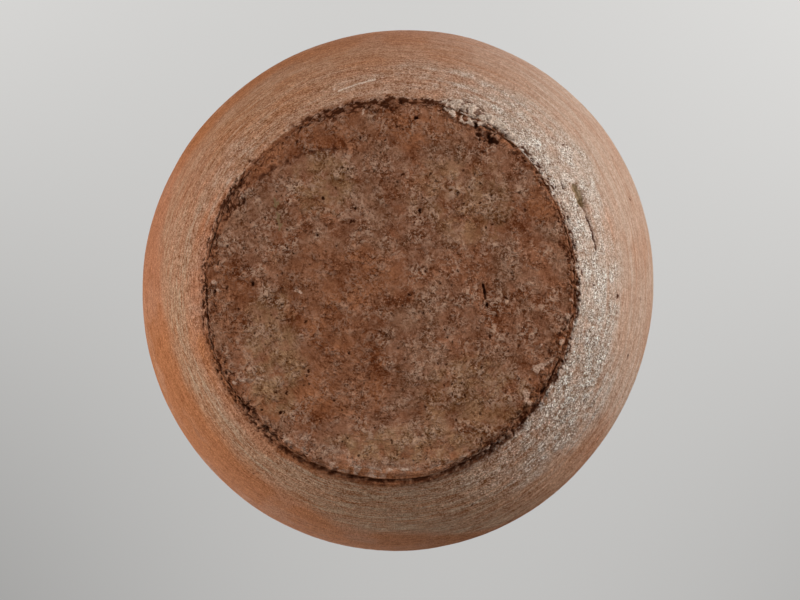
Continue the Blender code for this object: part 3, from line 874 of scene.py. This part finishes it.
def store(mesh, name, values):
    values = np.concatenate([values, [values[:counts[0]].mean(), values[first_of[-2]:].mean()]])
    attribute = mesh.attributes.new(name, "FLOAT", "POINT")
    attribute.data.foreach_set("value", values.astype(np.float32))


def make_mesh(name, points, faces):
    mesh = bpy.data.meshes.new(name)
    mesh.vertices.add(len(points))
    mesh.vertices.foreach_set("co", points.astype(np.float32).ravel())
    mesh.loops.add(faces.size)
    mesh.loops.foreach_set("vertex_index", faces.astype(np.int32).ravel())
    mesh.polygons.add(len(faces))
    mesh.polygons.foreach_set("loop_start", np.arange(0, faces.size, 3, dtype=np.int32))
    mesh.update(calc_edges=True)
    return mesh


fine_mesh = make_mesh("vase_clay_fine", corners, triangles)
amounts = {
    "soil_and_shade": soil_and_shade, "lime": lime, "film": film, "veil": veil, "bare": bare, "pale": pale,
    "olive": np.maximum(crumbly(0.75 * olive_line), 1.1 * deep_gouge), "outer": outer_side,
    "inner": (part == "inside") * 1.0, "travel": travel
}
for name, values in amounts.items():
    store(fine_mesh, name, values)
fine_jar = add_object("vase_clay_fine", fine_mesh)
thin = fine_jar.modifiers.new("thin out smooth places", "DECIMATE")
thin.ratio = MOST_TRIANGLES / len(triangles)
bpy.context.view_layer.update()
mesh = bpy.data.meshes.new_from_object(fine_jar.evaluated_get(bpy.context.evaluated_depsgraph_get()))
mesh.name = "vase_clay"
bpy.data.objects.remove(fine_jar)
bpy.data.meshes.remove(fine_mesh)
jar = add_object("vase_clay", mesh)
mesh.shade_smooth()
print(
    "skin:", len(mesh.vertices), "points,", len(mesh.polygons), "triangles, attributes",
    [a.name for a in mesh.attributes]
)

# %% [markdown]
# ## Does the skin lie on the solid?
# A tree of the CAD's faces finds the nearest point of the solid for any point of the skin. Every fortieth
# point is enough to tell how far the two models lie apart.

# %% Measure the skin against the CAD
tree = BVHTree.FromObject(cad_jar, bpy.context.evaluated_depsgraph_get())
distances = [tree.find_nearest(vertex.co)[3] / MM for vertex in list(mesh.vertices)[::40]]
print(
    "skin to solid: mean", round(float(np.mean(distances)), 2), "mm, most",
    round(float(np.max(distances)), 2), "mm"
)

# %% [markdown]
# ## Material maths that reads like maths
# A material is a graph of nodes, and a sum of three noises already takes a dozen lines to wire by hand. The
# class below wraps one socket, so that plain arithmetic between wrapped sockets adds the Math nodes and
# their links. A Math node turns a colour grey, so colours are blended by the Mix node and places are worked
# on by Vector Math.

# %% A small language for nodes
def both_ways(operation):
    """Return two methods that add a Math node: one for wire + other and one for other + wire."""
    def forwards(self, other):
        return self.finish.math(operation, self, other)

    def reflected(self, other):
        return self.finish.math(operation, other, self)

    return forwards, reflected


class Wire:
    """One output of a node. Arithmetic on it adds Math nodes to its material."""

    def __init__(self, finish, socket):
        self.finish = finish
        self.socket = socket

    __add__, __radd__ = both_ways("ADD")
    __sub__, __rsub__ = both_ways("SUBTRACT")
    __mul__, __rmul__ = both_ways("MULTIPLY")
    __truediv__, __rtruediv__ = both_ways("DIVIDE")

    def output(self, name):
        """Return another output of the same node."""
        return Wire(self.finish, self.socket.node.outputs[name])


class Finish:
    """A material, or a world, that is being wired."""

    def __init__(self, owner):
        owner.use_nodes = True
        self.tree = owner.node_tree

    def node(self, kind, settings=None, values=(), output=0):
        """Add a node: first its settings, then a value or a link for each socket in values."""
        made = self.tree.nodes.new(kind)
        for name, setting in (settings or {}).items():
            setattr(made, name, setting)
        for place, value in (values.items() if isinstance(values, dict) else enumerate(values)):
            self.plug(made.inputs[place], value)
        return Wire(self, made.outputs[output])

    def plug(self, socket, value):
        if isinstance(value, Wire):
            self.tree.links.new(value.socket, socket)
        elif socket.type == "RGBA" and len(value) == 3:
            socket.default_value = (*value, 1.0)
        else:
            socket.default_value = value

    def math(self, operation, *values):
        return self.node("ShaderNodeMath", {"operation": operation}, values)

    def vector(self, operation, *values):
        return self.node("ShaderNodeVectorMath", {"operation": operation}, values)

    def mix(self, share, below, above):
        """Return a colour between two colours."""
        settings = {"data_type": "RGBA", "blend_type": "MIX", "clamp_factor": True}
        return self.node("ShaderNodeMix", settings, {0: share, 6: below, 7: above}, 2)

    def shade(self, colour, change):
        """Return a lighter or darker colour: 0 leaves it, 1 doubles it, and darker is also redder."""
        tint = self.vector("MULTIPLY_ADD", change, (0.85, 1.10, 1.30), (1.0, 1.0, 1.0))
        return self.vector("MULTIPLY", colour, tint)

    def ramp(self, value, low, high):
        """Return 0 below low and 1 above high, with a soft change between."""
        settings = {"interpolation_type": "SMOOTHSTEP", "clamp": True}
        return self.node("ShaderNodeMapRange", settings, {"Value": value, "From Min": low, "From Max": high})


# %% [markdown]
# ## What the material knows about each point
# The amounts stored at the points arrive through Attribute nodes. They are as fine as the grid, a third of a
# millimetre at best, so finer chance is laid on top in the material. Object coordinates are in metres, hence
# the large scales: a scale of 1000 makes lumps of a millimetre.

# %% Begin the clay material
terracotta = bpy.data.materials.new("terracotta")
clay = Finish(terracotta)


def amount(name):
    return clay.node("ShaderNodeAttribute", {"attribute_name": name}, output="Fac")


def chance(size, detail=2.0, roughness=0.5, distortion=0.0, seed=0.0):
    """Return noise from 0 to 1 with lumps of one size in mm."""
    settings = {"noise_dimensions": "4D"}
    values = {
        "Vector": where, "W": seed, "Scale": 1.0 / (size * MM), "Detail": detail, "Roughness": roughness,
        "Distortion": distortion
    }
    return clay.node("ShaderNodeTexNoise", settings, values)


where = clay.node("ShaderNodeTexCoord", output="Object")
soil_and_shade_amount, lime_amount, film_amount, veil_amount = map(amount, ("soil_and_shade", "lime", "film", "veil"))
bare_amount, pale_amount, olive_amount = map(amount, ("bare", "pale", "olive"))
outside_amount, inner_amount = amount("outer"), amount("inner")
axes = clay.node("ShaderNodeSeparateXYZ", values=(where,))
x, y, z = axes, axes.output("Y"), axes.output("Z")
away = clay.math("SQRT", x * x + y * y)
print("material nodes so far:", len(clay.tree.nodes))

# %% [markdown]
# ## Places that run around the jar
# Streaks of the wheel are long around the jar and thin across it. A place made of the direction from the
# axis, which changes slowly, and of the way along the section, which changes fast, stretches any noise into
# such streaks. The way along the section comes from the grid, where it was added up from ring to ring.

# %% A place for streaks
flat_direction = clay.vector("NORMALIZE", clay.node("ShaderNodeCombineXYZ", values=(x, y, 0.0)))
streak_place = clay.node("ShaderNodeCombineXYZ", values=(0.0, 0.0, amount("travel") * 0.28))
streak_place = clay.vector("ADD", flat_direction, streak_place)


def streak_noise(scale, roughness):
    values = {
        "Vector": streak_place, "Scale": scale, "Detail": 3.0, "Roughness": roughness, "Distortion": 0.4
    }
    return clay.node("ShaderNodeTexNoise", {"noise_dimensions": "3D"}, values)


long_streaks = streak_noise(3.0, 0.6)
fine_streaks = streak_noise(8.0, 0.65)
print("material nodes so far:", len(clay.tree.nodes))

# %% [markdown]
# ## The clay under everything
# Fired clay isn't one colour. On the wall it is a clear orange with pinkish clouds, pinker on one side, which
# ramps along the axes mark off. On the underside it is a darker brown, red where it was scraped and greyer
# where fine soil has gone into it. Broad, middle and fine chance each move it a little, and together they
# look like clay.

# %% Clay colours
ORANGE, PINKISH, BRICK = (0.48, 0.180, 0.072), (0.50, 0.235, 0.130), (0.40, 0.135, 0.054)
SIDE_PINK, BARE_RED, BARE_BROWN = (0.475, 0.205, 0.118), (0.285, 0.100, 0.041), (0.275, 0.106, 0.050)
BROWN, RED_BROWN, GREY_BROWN = (0.272, 0.113, 0.059), (0.282, 0.103, 0.047), (0.274, 0.126, 0.069)

broad = chance(14.0)
middle = chance(3.5, seed=3.0)
fine = chance(0.8, detail=3.0, roughness=0.6, seed=5.0)
wall_clay = clay.mix(clay.ramp(broad, 0.45, 0.65) * 0.7, ORANGE, PINKISH)
pink_side = clay.ramp(x, -0.030, -0.060) * clay.ramp(y, 0.018, -0.005) * clay.ramp(y, -0.050, -0.030)
wall_clay = clay.mix(pink_side * 0.55, wall_clay, SIDE_PINK)
wall_clay = clay.mix(clay.ramp(long_streaks, 0.50, 0.72) * (0.6 - 0.4 * veil_amount), wall_clay, BRICK)
under_clay = clay.mix(clay.ramp(broad + 0.4 * (middle - 0.5), 0.42, 0.58), BROWN, GREY_BROWN)
under_clay = clay.mix(clay.ramp(chance(9.0, seed=7.0), 0.48, 0.62) * 0.8, under_clay, RED_BROWN)
under_bare = clay.mix(clay.ramp(broad, 0.40, 0.60), BARE_RED, BARE_BROWN)
body = clay.mix(bare_amount, under_clay, under_bare)
body = clay.mix(outside_amount, body, wall_clay)
print("material nodes so far:", len(clay.tree.nodes))

# %% [markdown]
# ## Coats: film, veil and lime
# The grey film is thin, so streaks of the wheel show through it. The veil only bleaches the clay. The lime
# stands in grains, which cover the clay wholly where they stand and leave dark gaps between, so its amount
# moves a threshold in a fine noise instead of fading a colour.

# %% Coat the clay
FILM_GREY, UNDER_GREY, VEIL = (0.47, 0.295, 0.183), (0.302, 0.153, 0.072), (0.585, 0.407, 0.303)
LIME, LIME_GROUND, LIME_SHADE = (0.88, 0.760, 0.655), (0.57, 0.440, 0.345), (0.17, 0.095, 0.057)

film_cover = film_amount * (0.30 + 0.9 * clay.ramp(fine_streaks, 0.38, 0.62))
coated = clay.mix(film_cover * outside_amount, body, FILM_GREY)
under_film = film_amount * (1.0 - outside_amount) * clay.ramp(middle + 0.3 * (broad - 0.5), 0.30, 0.60)
coated = clay.mix(under_film, coated, UNDER_GREY)
coated = clay.mix(veil_amount * (0.70 + 0.35 * clay.ramp(long_streaks, 0.35, 0.6)), coated, VEIL)
grains = chance(0.38, roughness=0.75, seed=9.0)
lime_clouds = chance(3.0, detail=3.0, roughness=0.6, seed=11.0)
sunless_side = clay.ramp(y, -0.01, 0.035)
dim_side = clay.ramp(y, 0.0, 0.035) * clay.ramp(x, 0.005, 0.030)
grains = 0.5 + (grains - 0.5) * (1.05 + 0.55 * sunless_side + 0.45 * dim_side) + 0.10 * (fine_streaks - 0.5)
lime_cover = lime_amount * (0.50 + 0.75 * clay.ramp(lime_clouds + 0.2 * (fine_streaks - 0.5), 0.36, 0.64))
lime_ground = clay.mix(lime_cover * 0.85, coated, LIME_GROUND)
gaps_between = clay.ramp(grains, 0.485, 0.385) * lime_cover
lime_ground = clay.mix(gaps_between * 0.9, lime_ground, LIME_SHADE)
grain_tops = clay.ramp(grains + 0.10 * lime_cover, 0.54, 0.70) * lime_cover
coated = clay.mix(grain_tops, lime_ground, LIME)

# %% [markdown]
# ## Grain in every size
# A smooth colour looks like paint. Real clay is lighter and darker from grain to grain, and again from clump
# to clump. Chance in several sizes is summed to one number near 0, which brightens or darkens whatever
# colour lies there, strongly in the coarse patches and less in the smooth ones. On the wall the streaks of
# the wheel take part in the sum, and the grain is strongest on the side where the lime is thin. Broad ramps
# along the axes make one side of the underside and one side of the wall a little paler: painted light.

# %% Grain
grain = chance(0.45, detail=1.0, roughness=0.7, seed=21.0)
knots = chance(1.5, roughness=0.6, seed=23.0)
drifts = chance(6.5, seed=24.0)
under_amount = (1.0 - outside_amount) * (1.0 - inner_amount)
scraped = clay.ramp(away, 0.010, 0.022) * (0.35 + 0.65 * clay.ramp(y, -0.015, 0.015))
coarse = 0.55 + 0.85 * clay.ramp(chance(6.0, seed=27.0) + 0.5 * (middle - 0.5), 0.38, 0.62)
under_grain = (
    (2.2 * (grain - 0.5) + 1.6 * (knots - 0.5)) * coarse + 1.6 * (drifts - 0.5)
    + 1.6 * (fine_streaks - 0.5) * scraped
)
# Painted light: the underside is made paler towards one edge
under_grain = under_grain + 0.24 * clay.ramp(y - 0.5 * x, 0.022, 0.046) - 0.040
wall_streaks = 1.3 * (fine_streaks - 0.5) + 0.8 * (long_streaks - 0.5)
wall_grain = (1.7 * (grain - 0.5) + 0.8 * (knots - 0.5)) * (1.0 + 0.5 * clay.ramp(z, 0.022, 0.009))
wall_grain = (
    (wall_grain + wall_streaks * (0.9 - 0.5 * lime_amount - 0.4 * veil_amount)) * (1.0 + 0.75 * dim_side)
)
by_foot = clay.ramp(z, 0.020, 0.008)
# Painted light: the outer wall at one side is made paler
painted_light_side = clay.ramp(y, 0.056, 0.066) * clay.ramp(clay.math("ABSOLUTE", x), 0.032, 0.008)
wall_grain = wall_grain - 0.08 * by_foot * clay.ramp(y, 0.0, -0.04) * clay.ramp(x, 0.030, 0.0)
wall_grain = wall_grain * (1.0 - 0.30 * veil_amount * (1.0 - by_foot) * (1.0 - lime_amount))
wall_grain = wall_grain + 0.07 * by_foot * clay.ramp(x, 0.035, 0.055) + 0.12 * painted_light_side

# %% [markdown]
# ## Threads, flecks and dots
# Up close the underside is a felt of short light threads between dark dots, left by straw and by the cloth
# of the drying board. A thin band cut out of a twisted noise gives curled threads, and a second noise breaks
# them into short lengths. A Voronoi texture gives one dot in each cell, of which only some are kept. The
# light threads have a dusty colour of their own, because a brighter shade of the clay would look like red
# paint.

# %% Fine marks of the underside
THREAD_DUST, DOT_BLACK = (0.66, 0.405, 0.275), (0.060, 0.016, 0.006)
DEEPEST_CHANGE = -0.62


def threads(size, width, seed):
    """Return thin curled lines in short lengths: places where a twisted noise passes its middle value."""
    twisted = chance(size, detail=1.0, distortion=1.5, seed=seed)
    line = clay.ramp(clay.math("ABSOLUTE", twisted - 0.5), width, 0.25 * width)
    return line * clay.ramp(chance(0.7 * size, seed=seed + 1.0), 0.46, 0.58)


thread_clouds = clay.ramp(chance(5.0, seed=15.0), 0.36, 0.60)
light_threads = clay.math("MAXIMUM", threads(1.4, 0.13, 31.0), threads(2.8, 0.085, 33.0)) * thread_clouds
dark_threads = threads(1.9, 0.10, 35.0)
flecks = clay.ramp(chance(0.5, detail=1.0, seed=17.0), 0.62, 0.72)

ripple = clay.vector("MULTIPLY_ADD", chance(0.8, seed=25.0).output("Color"), (0.0012, 0.0012, 0.0012), where)
dots = clay.node(
    "ShaderNodeTexVoronoi", {"feature": "F1"}, {"Vector": ripple, "Scale": 680.0, "Randomness": 1.0}
)
dot_chance = clay.node("ShaderNodeSeparateColor", values=(dots.output("Color"),))
dot_kept = clay.math("GREATER_THAN", dot_chance, 0.90)
dot_dark = clay.ramp(dots, 0.30, 0.12) * dot_kept * under_amount
marks = 0.20 * light_threads + 0.25 * flecks - 0.32 * dark_threads - 0.12 * clay.ramp(fine, 0.50, 0.34)
change = clay.math(
    "MAXIMUM", (under_grain + marks * coarse) * under_amount + wall_grain * outside_amount, DEEPEST_CHANGE
)
marked = clay.shade(coated, change)
light_marks = (
    clay.math("MAXIMUM", light_threads, 0.6 * flecks) * coarse * under_amount * (1.0 - 0.45 * bare_amount)
)
marked = clay.mix(light_marks * 0.62, marked, THREAD_DUST)
marked = clay.mix(dot_dark * 0.85, marked, DOT_BLACK)

# %% [markdown]
# ## Soil, painted shade, stains and rubbed places
# The amount of soil and painted shade was worked out from the shape. A fine noise breaks its edge, so that
# it ends in grains and not in a soft shade. Rubbed clay is pale and pinkish, and an olive stain lies in the
# gouge and along one line.

# %% Soil, painted shade and rubbed places
THIN_SOIL_AND_SHADE, SOIL_AND_SHADE, DEEP_SOIL_AND_SHADE = (0.135, 0.042, 0.019), (0.066, 0.017, 0.005), (0.026, 0.009, 0.004)
OLIVE, RUBBED_BELOW, RUBBED_WALL = (0.275, 0.180, 0.085), (0.66, 0.430, 0.310), (0.75, 0.575, 0.450)
INSIDE_ORANGE, INSIDE_BROWN, INSIDE_LOW_GREY = (0.42, 0.19, 0.10), (0.36, 0.20, 0.13), (0.25, 0.17, 0.115)

# Earth and painted shade share these dark colours
soil_and_shade_edge = soil_and_shade_amount + 0.9 * (fine - 0.5) * clay.ramp(soil_and_shade_amount, 0.02, 0.3) + 0.5 * (grain - 0.5)
soiled = clay.mix(clay.ramp(soil_and_shade_edge, 0.22, 0.60) * 0.72, marked, THIN_SOIL_AND_SHADE)
soiled = clay.mix(clay.ramp(soil_and_shade_edge, 0.46, 0.82) * 0.92, soiled, SOIL_AND_SHADE)
soiled = clay.mix(clay.ramp(soil_and_shade_edge, 0.95, 1.25) * 0.85, soiled, DEEP_SOIL_AND_SHADE)
olive = clay.ramp(olive_amount + 0.9 * (fine - 0.5), 0.30, 0.70)
soiled = clay.mix(olive * 0.80, soiled, OLIVE)
rubbed = clay.ramp(pale_amount + 0.7 * (fine - 0.5), 0.15, 0.75)
rubbed_clay = clay.mix(outside_amount, RUBBED_BELOW, RUBBED_WALL)
soiled = clay.mix(rubbed * 0.85, soiled, clay.shade(rubbed_clay, 2.2 * (grain - 0.5)))
inside_clay = clay.mix(clay.ramp(middle, 0.35, 0.7), INSIDE_ORANGE, INSIDE_BROWN)
# The inside turns darker and greyer towards its floor
inside_clay = clay.mix(clay.ramp(z, 0.06, 0.012) * 0.6, inside_clay, INSIDE_LOW_GREY)
colour = clay.mix(inner_amount, soiled, inside_clay)
print("material nodes so far:", len(clay.tree.nodes))

# %% [markdown]
# ## Gloss and the finest relief
# Unglazed clay is dull. The clean wall, once rubbed smooth, has the least roughness and the lime the most.
# Relief finer than the grid comes from bump: grain everywhere, streaks on the wall, and grains where lime
# lies.

# %% Wire the shader
shader = clay.tree.nodes["Principled BSDF"]
roughness = 0.84 + 0.10 * lime_amount + 0.12 * (fine - 0.5) + 0.04 * under_amount
wall_height = 0.5 * fine + 0.45 * grain + 0.55 * grains * lime_cover + 0.45 * fine_streaks
under_height = (0.6 * fine + 0.5 * grain + 0.8 * knots + 0.5 * light_threads - 0.4 * dark_threads) * coarse
under_height = under_height + 0.5 * fine_streaks * scraped - 0.8 * dot_dark
height = wall_height * (1.0 - under_amount) + under_height * under_amount
bump = clay.node("ShaderNodeBump", values={"Strength": 1.0, "Distance": 0.00055, "Height": height})
clay.plug(shader.inputs["Base Color"], colour)
clay.plug(shader.inputs["Roughness"], roughness)
clay.plug(shader.inputs["Normal"], bump)
shader.inputs["Specular IOR Level"].default_value = 0.04
mesh.materials.append(terracotta)
print("terracotta:", len(clay.tree.nodes), "nodes")

# %% [markdown]
# ## The floor
# The jar stands on a plain pale floor. The photograph looks up at the foot, so a real floor would hide it:
# this one is clear from below, which the Backfacing output of the Geometry node decides, and it casts no
# shadow. It glows a little, so that it stays evenly pale out to the horizon, beyond the reach of the lamps.

# %% Lay the floor
def add_floor():
    square = 12.0 * np.array([[-1, -1, 0], [1, -1, 0], [1, 1, 0], [-1, 1, 0]])
    mesh = make_mesh("floor", square, np.array([[0, 1, 2], [0, 2, 3]]))
    obj = add_object("floor", mesh)
    obj.location.z = -0.0004
    material = bpy.data.materials.new("floor paint")
    paint = Finish(material)
    shader = paint.tree.nodes["Principled BSDF"]
    shader.inputs["Base Color"].default_value = (0.24, 0.24, 0.238, 1.0)
    shader.inputs["Roughness"].default_value = 0.9
    shader.inputs["Emission Color"].default_value = (0.54, 0.54, 0.53, 1.0)
    shader.inputs["Emission Strength"].default_value = 1.0
    from_below = paint.node("ShaderNodeNewGeometry", output="Backfacing")
    clear = paint.node("ShaderNodeBsdfTransparent")
    both = paint.node(
        "ShaderNodeMixShader", values={0: from_below, 1: Wire(paint, shader.outputs[0]), 2: clear}
    )
    paint.plug(paint.tree.nodes["Material Output"].inputs["Surface"], both)
    mesh.materials.append(material)
    obj.visible_shadow = obj.visible_diffuse = obj.visible_glossy = obj.visible_transmission = False
    return obj


floor_plane = add_floor()
print("floor at", floor_plane.location.z, "m")

# %% [markdown]
# ## The room
# Behind the jar the photograph shows plain pale grey, brighter to the upper right. The world gives that
# backdrop to the camera, as a soft gradient by direction, and a dimmer even light to the clay, so that the
# lamps keep their say. The photograph looks straight up, so the gradient is kept to that part of the world,
# and the rest is plain.

# %% Light the room
scene = bpy.context.scene
scene.view_settings.view_transform = "Standard"
scene.world = bpy.data.worlds.new("room")
room = Finish(scene.world)
direction = room.node("ShaderNodeTexCoord", output="Generated")
sides = room.node("ShaderNodeSeparateXYZ", values=(direction,))
across, down, upwards = sides, sides.output("Y"), sides.output("Z")
tone = 0.578 + 0.076 * across - 0.167 * down - across * across * (0.09 + 1.36 * down)
tone = 0.62 + (tone - 0.62) * room.ramp(upwards, 0.50, 0.80)
backdrop = room.vector("MULTIPLY", tone, (1.010, 1.0, 0.980))
seen = room.node("ShaderNodeLightPath", output="Is Camera Ray")
glow = room.mix(seen, (0.185, 0.185, 0.19), backdrop)
room.plug(room.tree.nodes["Background"].inputs["Color"], glow)

AIM = Vector((0.0, 0.0, 0.03))


def soft_light(name, place, size, watts):
    lamp = bpy.data.lights.new(name, "AREA")
    lamp.shape = "ELLIPSE"
    lamp.size, lamp.size_y = size
    lamp.energy = watts
    obj = add_object(name, lamp)
    obj.location = place
    obj.rotation_euler = (AIM - Vector(place)).to_track_quat("-Z", "Y").to_euler()


soft_light("window", (0.565, -0.25, -0.24), (0.40, 0.40), 3.3)
soft_light("left wall of the room", (-0.61, -0.06, -0.21), (0.60, 0.40), 3.1)
soft_light("overhead", (0.15, -0.45, 0.95), (0.70, 0.70), 7.5)
soft_light("back fill", (-0.30, 0.50, 0.60), (0.60, 0.60), 3.0)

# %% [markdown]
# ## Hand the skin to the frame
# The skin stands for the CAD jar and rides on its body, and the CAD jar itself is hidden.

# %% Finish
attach(jar, "root")
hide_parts("vase")
